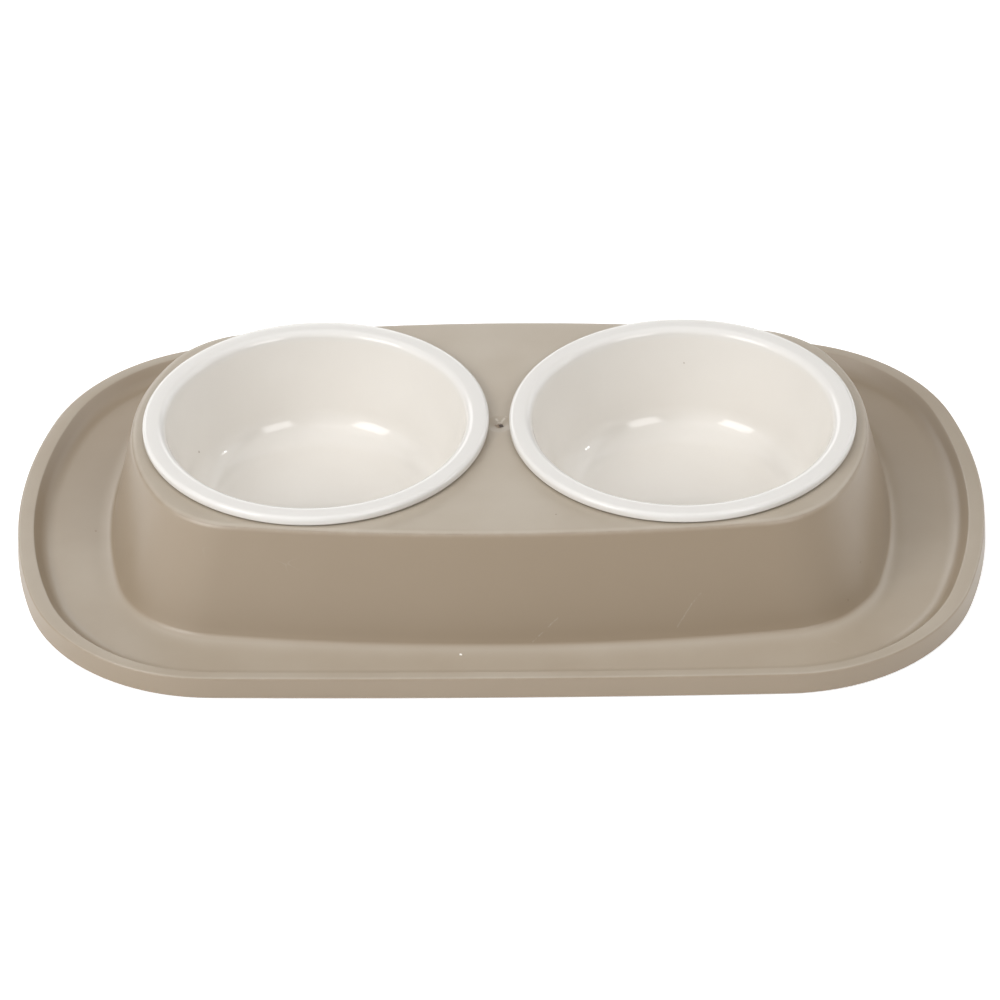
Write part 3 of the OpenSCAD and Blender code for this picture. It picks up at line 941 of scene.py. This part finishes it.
def makeWeb():  # the wall under the deck between the two bowls
    low = deckZ - base["shell"] - web["drop"]
    top = deckZ - base["shell"] / 2
    halfTop = deckWidth - base["shell"] * base["leanShare"]
    halfLow = halfTop + web["drop"] * base["flareSide"] / wallRise
    mesh = bmesh.new()
    mesh.verts.layers.float.new("worn")
    corners = [(-halfTop, top), (-halfLow, low), (halfLow, low), (halfTop, top)]
    verts = [mesh.verts.new((-web["thickness"] / 2, across, up)) for across, up in corners]
    side = mesh.faces.new(verts)
    grown = bmesh.ops.extrude_face_region(mesh, geom=[side])["geom"]
    moved = [item for item in grown if isinstance(item, bmesh.types.BMVert)]
    bmesh.ops.translate(mesh, vec=(web["thickness"], 0, 0), verts=moved)
    lowEdges = [edge for edge in mesh.edges if all(vert.co.z < low + web["slack"] for vert in edge.verts)
                and abs(edge.verts[0].co.y - edge.verts[1].co.y) > web["thickness"]]
    bmesh.ops.bevel(mesh, geom=lowEdges, offset=web["soften"], segments=web["softSteps"], profile=0.5,
                    affect="EDGES", material=-1)
    return finishPiece(mesh, "centreWeb", None, "base", taupeMaterial)


makeWeb()

pad = {
    "edge": 0.5,
    "topRound": 0.15,
    "dishRadius": 0.62,
    "dishDepth": 0.18,
    "dishSlope": 0.4,
    "dishRound": 0.2,
    "wornRise": 0.1,
    "roundSteps": 8,
    "steps": 56,
    "ringGap": 0.3,
    "ringWall": 1.4,
    "ringDrop": 1.0,
    "ringRounds": (0.15, 0.2, 0.3, 0.2),
    "ringSteps": 6,
}
padNames = {"foot_front_left": "padFrontLeft", "foot_front_middle": "padFrontMiddle",
            "foot_front_right": "padFrontRight", "foot_rear_left": "padRearLeft",
            "foot_rear_middle": "padRearMiddle", "foot_rear_right": "padRearRight"}


def makePad(node):  # a rubber disc with a soft edge and a shallow dish underneath
    low, high = [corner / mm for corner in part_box(node)]
    radius = (high.x - low.x) / 2
    centre = Vector(((low.x + high.x) / 2, (low.y + high.y) / 2))
    dish = radius * pad["dishRadius"]
    corners = [
        (0, low.z + pad["dishDepth"], 0),
        (dish, low.z + pad["dishDepth"], pad["dishRound"]),
        (dish + pad["dishSlope"], low.z, pad["dishRound"]),
        (radius, low.z, pad["edge"]),
        (radius, high.z, pad["topRound"]),
        (0, high.z, 0),
    ]
    mesh = bmesh.new()
    spinPath(mesh, filletPath(corners, pad["roundSteps"]), centre, pad["steps"])
    markWorn(mesh, low.z + pad["wornRise"])
    return finishPiece(mesh, padNames[node], node, "base", rubberMaterial), centre, radius, high.z


def makeSockets(pads):  # the rings moulded round the pads
    mesh = bmesh.new()
    mesh.verts.layers.float.new("worn")
    innerTop, innerLow, outerLow, outerTop = pad["ringRounds"]
    for centre, radius, top in pads:
        inner = radius + pad["ringGap"]
        outer = inner + pad["ringWall"]
        cover = top + base["moatSkin"] / 2
        corners = [
            (0, top, 0),
            (inner, top, innerTop),
            (inner, top - pad["ringDrop"], innerLow),
            (outer, top - pad["ringDrop"], outerLow),
            (outer, cover, outerTop),
            (0, cover, 0),
        ]
        one = bmesh.new()
        one.verts.layers.float.new("worn")
        spinPath(one, filletPath(corners, pad["ringSteps"]), centre, pad["steps"])
        data = bpy.data.meshes.new("socket")
        one.to_mesh(data)
        one.free()
        mesh.from_mesh(data)
        bpy.data.meshes.remove(data)
    return finishPiece(mesh, "padSockets", None, "base", taupeMaterial)


madePads = [makePad(node) for node in padNames]
makeSockets([made[1:] for made in madePads])
print("pads and sockets: made")


camera = {"place": (40.7, -1809.5, 1311.2), "turn": (54.311, 0.999, 0.583), "lens": 176.28, "sensor": 36,
          "clip": (0.05, 60)}


def makeCamera():
    data = bpy.data.cameras.new("camera")
    data.lens = camera["lens"]
    data.sensor_width = camera["sensor"]
    data.clip_start, data.clip_end = camera["clip"]
    made = bpy.data.objects.new("camera", data)
    made.location = Vector(camera["place"]) * mm
    made.rotation_euler = [math.radians(angle) for angle in camera["turn"]]
    scene.collection.objects.link(made)
    scene.camera = made


lamps = {
    "softboxLeft": {"toward": (-0.645, -0.504, 0.574), "distance": 2.2, "size": (1.0, 0.85), "power": 15.5},
    "softboxRight": {"toward": (0.51, -0.641, 0.574), "distance": 2.2, "size": (0.9, 0.8), "power": 10.5},
    "fillLeft": {"toward": (-0.6, -0.58, 0.55), "distance": 3.2, "size": (5, 3.6), "power": 46},
    "sideLeft": {"toward": (-0.93, 0.15, 0.36), "distance": 3, "size": (3.6, 2.2), "power": 18},
    "sideRight": {"toward": (0.85, 0.42, 0.44), "distance": 3, "size": (3.6, 2.2), "power": 31},
    "stripRight": {"toward": (0.884, 0.109, 0.454), "distance": 2.2, "size": (0.12, 0.12), "power": 0.8},
    "panelBack": {"toward": (-0.25, 0.9, 0.37), "distance": 2.2, "size": (2.1, 0.8), "power": 11.5},
    "overhead": {"toward": (0, -0.12, 1.0), "distance": 2.8, "size": (5, 4), "power": 60},
}

studio = {
    "aim": (0, 0, 0.03),
    "skyStrength": 0.03,
    "skyShown": 1.0,
    "floorRadius": 8,
    "floorSteps": 96,
    "floorColour": (0.86, 0.86, 0.86, 1),
    "floorRoughness": 0.9,
    "floorLift": (0.45, 1.0),
    "liftReach": (0.8, 1.8),
}


def seenDirectly(tree):  # 1 for camera, glossy and transmission rays
    path = addNode(tree, "ShaderNodeLightPath").outputs
    seen = calculate(tree, "MAXIMUM", path["Is Camera Ray"], path["Is Glossy Ray"])
    return calculate(tree, "MAXIMUM", seen, path["Is Transmission Ray"])


def makeLamp(name):
    made = lamps[name]
    data = bpy.data.lights.new(name, "AREA")
    data.shape = "RECTANGLE"
    data.size, data.size_y = made["size"]
    data.energy = made["power"]
    lamp = bpy.data.objects.new(name, data)
    toward = Vector(made["toward"]).normalized()
    lamp.location = Vector(studio["aim"]) + toward * made["distance"]
    lamp.rotation_euler = toward.to_track_quat("Z", "Y").to_euler()
    scene.collection.objects.link(lamp)


def makeWorld():
    world = bpy.data.worlds.new("studioAir")
    scene.world = world
    world.use_nodes = True
    tree = world.node_tree
    back = tree.nodes["Background"]
    back.inputs["Color"].default_value = (1, 1, 1, 1)
    path = addNode(tree, "ShaderNodeLightPath").outputs
    strength = remap(tree, path["Is Camera Ray"], 0.0, 1.0, studio["skyStrength"], studio["skyShown"])
    tree.links.new(strength, back.inputs["Strength"])


def makeFloor():
    mesh = bmesh.new()
    bmesh.ops.create_circle(mesh, cap_ends=True, segments=studio["floorSteps"], radius=studio["floorRadius"])
    data = bpy.data.meshes.new("studioFloor")
    mesh.to_mesh(data)
    mesh.free()
    material = bpy.data.materials.new("paleFloor")
    material.use_nodes = True
    tree = material.node_tree
    shader = tree.nodes["Principled BSDF"]
    shader.inputs["Base Color"].default_value = studio["floorColour"]
    shader.inputs["Roughness"].default_value = studio["floorRoughness"]
    shader.inputs["Specular IOR Level"].default_value = 0.0
    shader.inputs["Emission Color"].default_value = (1, 1, 1, 1)
    away = combine(tree, "DISTANCE", objectPlace(tree), (0, 0, 0))
    lift = remap(tree, away, *studio["liftReach"], *studio["floorLift"])  # paler far away, for low views
    tree.links.new(times(tree, seenDirectly(tree), lift), shader.inputs["Emission Strength"])
    data.materials.append(material)
    floor = bpy.data.objects.new("studioFloor", data)
    scene.collection.objects.link(floor)


makeCamera()
for name in lamps:
    makeLamp(name)
makeWorld()
makeFloor()
scene.view_settings.view_transform = "Standard"
print("studio: made")
